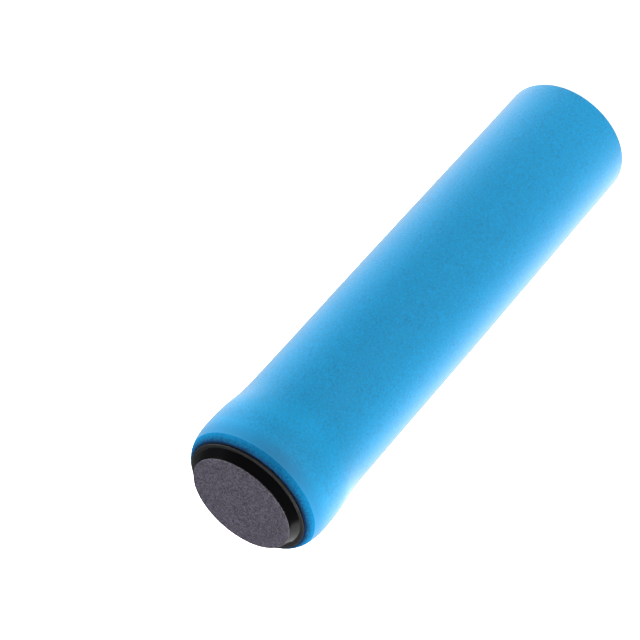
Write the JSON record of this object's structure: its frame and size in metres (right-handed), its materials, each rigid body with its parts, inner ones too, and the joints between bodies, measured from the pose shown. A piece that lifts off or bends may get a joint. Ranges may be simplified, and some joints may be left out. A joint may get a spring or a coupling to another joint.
{
  "type": "handlebar grip",
  "caption": "Slip-on bicycle handlebar grip: a soft foam tube that flares at its outer end, closed there by a bevelled push-in plug.",
  "frame": {"origin": "centre of the open inner end face, on the bore's axis", "axes": "+Z along the bore, from the open inner end to the plug; the part is round about Z, so X and Y are free"},
  "size_m": [0.0332, 0.0332, 0.1327],
  "materials": {
    "silicone_foam": "matte, fine closed-cell grain",
    "black_plastic": "fine moulded grain on the face, smooth on the bevel"
  },
  "bodies": {
    "root": {"foam_sleeve": "silicone_foam", "end_plug": "black_plastic"}
  },
  "joints": []
}
